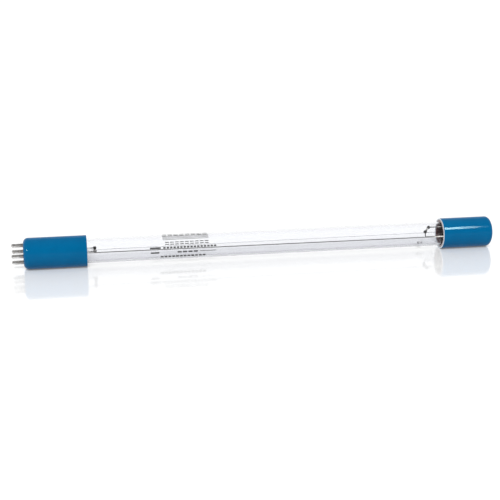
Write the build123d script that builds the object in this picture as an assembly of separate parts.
from build123d import *
import math
import os

# Single-ended germicidal lamp: a clear quartz tube between two drawn metal caps.
# The lamp lies along X and +Z is up. The origin is the middle of the base's end face,
# the contact pins point to -X and the tube runs to +X. All sizes are in millimetres.

# Quartz tube and its two press seals
tube_od = 15.0
tube_wall = 1.0
clear_len = 221.6  # bare tube between the mouths of the caps
press_len = 9.0  # flat part of a press seal
press_thick = 4.0
press_width = 13.0
press_shoulder = 6.0  # length over which the round tube flattens
press_blend = 4.0  # radius where the shoulder runs into the flat
dome_round = 5.0  # radius at the ends of the bore
dome_reach = 2.0  # how far the bore runs on past the round tube

# Caps and the cement that holds them
cap_wall = 0.8
cap_corner = 3.0  # outside radius at a cap's closed end
cap_rim_round = 0.3
base_cap_len = 37.6
end_cap_len = 32.8
cement_thick = 1.2  # radial room between tube and cap
cement_len = 9.0
cement_recess = 0.4  # depth of the cement's face below the cap's mouth
bond_gap = 0.03

# Pin carrier and contact pins, a rectangle of four turned about the lamp's axis
pin_long_pitch = 7.92
pin_short_pitch = 6.35
pin_turn = 38.8  # from +Y towards +Z, in degrees
pin_d = 2.36
pin_shank_d = 1.9  # part of a pin inside the carrier
pin_len = 7.0  # length that stands out of the base
pin_tip_round = 1.05
pin_bore = 1.3
pin_solder = 1.2  # closed end of the bore
pin_head_d = 3.6
pin_head_thick = 0.5
pin_fit = 0.02
insulator_thick = 4.0
insulator_land = 0.45  # ceramic left outside the pins on the end face
seat_fit = 0.05

# Cathodes: two leads and a coil at each end of the bore
lead_d = 0.6
lead_spacing = 6.0
lead_offset = 1.1  # the pair of leads stands this far off the axis
lead_bend = 0.6
lead_tip = 1.5  # bent end of a lead, through its clamp and into the coil
base_hook_height = 0.8  # the lower lead turns up by this much
base_hook_ahead = 0.3  # and stands this much deeper in the tube
end_hook_height = 3.2
end_hook_ahead = 2.3
coil_wire = 0.42
coil_pitch = 0.7
coil_slack = 0.03  # between a lead's tip and the coil around it
coil_inset = 0.05  # between a clamp and the coil
clamp_len = 1.8  # tab that holds an end of the coil on its lead
clamp_width = 1.9
clamp_thick = 1.4
clamp_round = 0.4
base_reach = 4.6  # upper lead's bend, from the cap's mouth into the tube
end_reach = 7.0
base_cathode_turn = 143.2  # from +Y towards +Z, in degrees
end_cathode_turn = 73.5

# Foils in the press seals
foil_width = 2.2
foil_thick = 0.1
foil_margin = 1.5  # quartz beyond each end of a foil
seal_gap = 0.01

# Wiring
wire_d = 0.5
wire_gap = 0.05  # return wire to tube
wire_bend = 1.0
return_bend = 1.5  # where a return wire doubles back behind the far seal
wiring_space = 6.5  # between the pin heads and the base press seal
end_space = 5.4  # between the far press seal and the end cap
wire_in_pin = 3.0
front_wire_base_angle = 6.9  # degrees above the front, at the base
front_wire_end_angle = 0.1
rear_wire_base_angle = -14.0  # degrees above the rear, at the base
rear_wire_end_angle = -9.0

# Mercury drop on the bottom of the bore
bead_len = 3.4
bead_width = 2.8
bead_height = 2.2
bead_from_mouth = 12.8
bead_sink = 0.12  # share of the drop's height cut off by the bore

# Radii and stations along X that follow from the sizes above
tube_r = tube_od / 2
bore_r = tube_r - tube_wall
cap_inner_r = tube_r + cement_thick
cap_r = cap_inner_r + cap_wall
inner_corner = cap_corner - cap_wall
insulator_back = cap_wall + insulator_thick
pin_head_back = insulator_back + pin_head_thick
base_press_end = pin_head_back + wiring_space
base_shoulder = base_press_end + press_len
base_round = base_shoulder + press_shoulder
base_mouth = base_cap_len
end_mouth = base_mouth + clear_len
lamp_end = end_mouth + end_cap_len
end_press_end = lamp_end - cap_wall - end_space
end_shoulder = end_press_end - press_len
end_round = end_shoulder - press_shoulder
upper_lead = lead_offset + lead_spacing / 2
lower_lead = lead_offset - lead_spacing / 2


def rod(radius, start, end):
    """Round bar on the lamp's axis from one station to another."""
    body = Plane.YZ * Cylinder(radius, end - start, align=(Align.CENTER, Align.CENTER, Align.MIN))
    return Pos(start, 0, 0) * body


def rounded_rod(radius, start, end, corner):
    """Round bar whose edge at the start station is rounded."""
    body = rod(radius, start, end)
    return fillet(body.edges().sort_by(Axis.X)[0], corner)


def cap_shell(length):
    """Drawn cup with its closed end at X = 0 and a rounded lip at its mouth."""
    outside = rounded_rod(cap_r, 0, length, cap_corner)
    inside = rounded_rod(cap_inner_r, cap_wall, length + cap_wall, inner_corner)
    shell = outside - inside
    lip = shell.edges().group_by(Axis.X)[-1]
    return fillet(lip, cap_rim_round)


def wire(points, diameter, bend):
    """Round wire along straight runs joined by tangent arcs."""
    route = FilletPolyline(*points, radius=bend)
    section = Plane(origin=route @ 0, z_dir=route % 0) * Circle(diameter / 2)
    return sweep(section, path=route)


def at_angle(x, radius, degrees):
    """Point at a station and radius, its angle taken from +Y towards +Z."""
    angle = math.radians(degrees)
    return Vector(x, radius * math.cos(angle), radius * math.sin(angle))


# Caps: the base shell is open where the pin carrier's face comes through
pin_circle = math.hypot(pin_long_pitch, pin_short_pitch) / 2
face_r = pin_circle + pin_d / 2 + insulator_land
base_cap = cap_shell(base_cap_len) - rod(face_r + seat_fit, -cap_wall, 2 * cap_wall)
end_cap = Pos(lamp_end, 0, 0) * Rot(0, 0, 180) * cap_shell(end_cap_len)

# Pins: hollow, with a rounded closed tip, a shoulder on the carrier and a riveted head behind it
pin_half_angle = math.degrees(math.atan2(pin_short_pitch, pin_long_pitch))
pin_angles = [
    pin_turn + pin_half_angle,
    pin_turn - pin_half_angle,
    pin_turn + pin_half_angle + 180,
    pin_turn - pin_half_angle + 180,
]
pin_blank = rounded_rod(pin_d / 2, -pin_len, 0, pin_tip_round)
pin_blank += rod(pin_shank_d / 2, 0, pin_head_back)
pin_blank += rod(pin_head_d / 2, insulator_back, pin_head_back)
pin_blank -= rod(pin_bore / 2, pin_solder - pin_len, pin_head_back + pin_solder)
contact_pins = [Pos(at_angle(0, pin_circle, angle)) * pin_blank for angle in pin_angles]

# Pin carrier: a ceramic flange that fills the shell's closed end, with a boss in its opening
carrier_front = cap_wall + seat_fit
pin_insulator = rounded_rod(cap_inner_r - seat_fit, carrier_front, insulator_back, inner_corner)
pin_insulator += rod(face_r, 0, insulator_back)
pin_hole = rod(pin_shank_d / 2 + pin_fit, -cap_wall, insulator_back + cap_wall)
for angle in pin_angles:
    pin_insulator -= Pos(at_angle(0, pin_circle, angle)) * pin_hole


def press_cutter(round_x, shoulder_x, flat_end, half_size):
    """Slab on the +Y side that flattens the end of a tube down to half_size."""
    beyond = flat_end + math.copysign(tube_wall, flat_end - shoulder_x)
    clear = tube_r + tube_wall
    slope = (round_x - shoulder_x) / (tube_r - half_size)
    outline = Polyline(
        (round_x + slope * tube_wall, clear),
        (shoulder_x, half_size),
        (beyond, half_size),
        (beyond, clear),
        close=True,
    )
    face = make_face(outline)
    foot = face.vertices().sort_by_distance((shoulder_x, half_size, 0))[0]
    return extrude(fillet(foot, press_blend), amount=clear, both=True)


def press_seal(tube, round_x, shoulder_x, flat_end, turn):
    """Flattens one end of the tube; its broad faces lie along the cathode's two leads."""
    thin = press_cutter(round_x, shoulder_x, flat_end, press_thick / 2)
    narrow = press_cutter(round_x, shoulder_x, flat_end, press_width / 2)
    for side in (90, 270):
        tube -= Rot(turn + side, 0, 0) * thin
        tube -= Rot(turn + side + 90, 0, 0) * narrow
    return tube


quartz_tube = rod(tube_r, base_press_end, end_press_end)
quartz_tube = press_seal(quartz_tube, base_round, base_shoulder, base_press_end, base_cathode_turn)
quartz_tube = press_seal(quartz_tube, end_round, end_shoulder, end_press_end, end_cathode_turn)
bore = rod(bore_r, base_round - dome_reach, end_round + dome_reach)
quartz_tube -= fillet(bore.edges().filter_by(GeomType.CIRCLE), dome_round)


def clamp(grip, across):
    """Crimped tab round a lead's bent end, in line with the coil."""
    tab = Box(clamp_thick, clamp_width, clamp_len)
    tab = fillet(tab.edges(), clamp_round)
    return Plane(origin=grip, x_dir=(0, 0, 1), z_dir=across) * tab


def cathode(mouth, shoulder_x, inward, reach, hook_ahead, hook_height, turn):
    """Coil and two leads at one end; inward is +1 or -1 along X, into the tube."""
    start = shoulder_x - inward * foil_margin
    upper_grip = Vector(mouth + inward * reach, upper_lead, 0)
    lower_grip = Vector(mouth + inward * (reach + hook_ahead), lower_lead + hook_height, 0)
    across = (lower_grip - upper_grip).normalized()
    upper = wire(
        [(start, upper_lead, 0), upper_grip, upper_grip + across * lead_tip],
        lead_d,
        lead_bend,
    )
    corner = Vector(lower_grip.X, lower_lead, 0)
    lower = wire(
        [(start, lower_lead, 0), corner, lower_grip, lower_grip - across * lead_tip],
        lead_d,
        lead_bend,
    )
    upper += clamp(upper_grip, across)
    lower += clamp(lower_grip, across)
    coil_r = lead_d / 2 + coil_slack + coil_wire / 2
    coil_start = clamp_len / 2 + coil_inset + coil_wire / 2
    coil_len = (lower_grip - upper_grip).length - 2 * coil_start
    turns = Helix(coil_pitch, coil_len, coil_r, upper_grip + across * coil_start, across)
    section = Plane(origin=turns @ 0, z_dir=turns % 0) * Circle(coil_wire / 2)
    coil = sweep(section, path=turns, is_frenet=True)
    return [Rot(turn, 0, 0) * piece for piece in (coil, upper, lower)]


def foil(shoulder_x, press_end_x, offset, turn):
    """Thin strip inside a press seal, between an inner and an outer lead."""
    strip = Box(press_len - 2 * foil_margin, foil_width, foil_thick)
    return Rot(turn, 0, 0) * Pos((shoulder_x + press_end_x) / 2, offset, 0) * strip


def foil_pocket(shoulder_x, press_end_x, offset, turn):
    """Room in the quartz for a foil and for the leads at both its ends."""
    inward = math.copysign(1, shoulder_x - press_end_x)
    inner_end = shoulder_x + inward * (press_shoulder + dome_round)
    outer_end = press_end_x - inward * foil_margin
    strip = Box(
        press_len - 2 * foil_margin + 2 * seal_gap,
        foil_width + 2 * seal_gap,
        foil_thick + 2 * seal_gap,
    )
    pocket = Pos((shoulder_x + press_end_x) / 2, 0, 0) * strip
    inner_start = shoulder_x - inward * foil_margin
    outer_start = press_end_x + inward * foil_margin
    pocket += rod(lead_d / 2 + seal_gap, min(inner_start, inner_end), max(inner_start, inner_end))
    pocket += rod(wire_d / 2 + seal_gap, min(outer_start, outer_end), max(outer_start, outer_end))
    return Rot(turn, 0, 0) * Pos(0, offset, 0) * pocket


base_hook = (base_reach, base_hook_ahead, base_hook_height)
end_hook = (end_reach, end_hook_ahead, end_hook_height)
base_coil, base_upper, base_lower = cathode(base_mouth, base_shoulder, 1, *base_hook, base_cathode_turn)
end_coil, end_upper, end_lower = cathode(end_mouth, end_shoulder, -1, *end_hook, end_cathode_turn)
base_seal = (base_shoulder, base_press_end)
end_seal = (end_shoulder, end_press_end)
for offset in (upper_lead, lower_lead):
    quartz_tube -= foil_pocket(*base_seal, offset, base_cathode_turn)
    quartz_tube -= foil_pocket(*end_seal, offset, end_cathode_turn)

# Wires from the press seals to the pins, and the two that come back along the tube
spread_x = base_press_end - 0.3 * wiring_space
gather_x = pin_head_back + 0.3 * wiring_space
wire_end_x = pin_head_back - wire_in_pin
double_back_x = end_press_end + end_space / 2
wire_r = tube_r + wire_d / 2 + wire_gap


def into_pin(angle):
    """Last two points of a wire: in front of a pin's head, and inside the pin."""
    return [at_angle(gather_x, pin_circle, angle), at_angle(wire_end_x, pin_circle, angle)]


def outer_lead(offset, pin_angle):
    """Wire from a foil in the base press seal to a pin."""
    start = at_angle(base_press_end + foil_margin, offset, base_cathode_turn)
    spread = at_angle(spread_x, offset, base_cathode_turn)
    return wire([start, spread, *into_pin(pin_angle)], wire_d, wire_bend)


def along_tube(base_angle, end_angle):
    """The straight run of a return wire: its points at the base and at the far end."""
    return [at_angle(double_back_x, wire_r, end_angle), at_angle(spread_x, wire_r, base_angle)]


def return_wire(offset, run, pin_angle):
    """Wire from a foil in the far press seal, back along the tube, to a pin."""
    start = at_angle(end_press_end - foil_margin, offset, end_cathode_turn)
    behind = at_angle(double_back_x, offset, end_cathode_turn)
    bends = [return_bend, return_bend, wire_bend, wire_bend]
    return wire([start, behind, *run, *into_pin(pin_angle)], wire_d, bends)


front_run = along_tube(180 - front_wire_base_angle, 180 - front_wire_end_angle)
rear_run = along_tube(rear_wire_base_angle, rear_wire_end_angle)


def cement_ring(mouth, inward):
    """Cement between tube and cap, with room for the two return wires."""
    face = mouth + inward * cement_recess
    back = face + inward * cement_len
    low, high = min(face, back), max(face, back)
    ring = rod(cap_inner_r - bond_gap, low, high) - rod(tube_r + bond_gap, low, high)
    for run in (front_run, rear_run):
        groove = Plane(origin=run[0], z_dir=run[1] - run[0])
        groove = groove * Circle(wire_d / 2 + bond_gap)
        ring -= extrude(groove, amount=(run[1] - run[0]).length)
    return ring


# Mercury drop: an ellipsoid that rests in the bottom of the bore
drop = scale(Sphere(1), by=(bead_len / 2, bead_width / 2, bead_height / 2))
drop_z = -bore_r + bead_height * (0.5 - bead_sink)
drop = Pos(end_mouth - bead_from_mouth, 0, drop_z) * drop
mercury_bead = drop & rod(bore_r - bond_gap, base_mouth, end_mouth)

pieces = {
    "base_cap": base_cap,
    "end_cap": end_cap,
    "pin_insulator": pin_insulator,
    "base_cement": cement_ring(base_mouth, -1),
    "end_cement": cement_ring(end_mouth, 1),
    "quartz_tube": quartz_tube,
    "base_cathode_coil": base_coil,
    "base_cathode_lead_upper": base_upper,
    "base_cathode_lead_lower": base_lower,
    "end_cathode_coil": end_coil,
    "end_cathode_lead_upper": end_upper,
    "end_cathode_lead_lower": end_lower,
    "base_foil_upper": foil(*base_seal, upper_lead, base_cathode_turn),
    "base_foil_lower": foil(*base_seal, lower_lead, base_cathode_turn),
    "end_foil_upper": foil(*end_seal, upper_lead, end_cathode_turn),
    "end_foil_lower": foil(*end_seal, lower_lead, end_cathode_turn),
    "base_outer_lead_upper": outer_lead(upper_lead, pin_angles[0]),
    "base_outer_lead_lower": outer_lead(lower_lead, pin_angles[2]),
    "return_wire_front": return_wire(lower_lead, front_run, pin_angles[3]),
    "return_wire_rear": return_wire(upper_lead, rear_run, pin_angles[1]),
    "mercury_bead": mercury_bead,
}
for number, pin in enumerate(contact_pins, start=1):
    pieces[f"contact_pin_{number}"] = pin

os.makedirs("parts", exist_ok=True)
for node, shape in pieces.items():
    export_step(shape, f"parts/{node}.step")
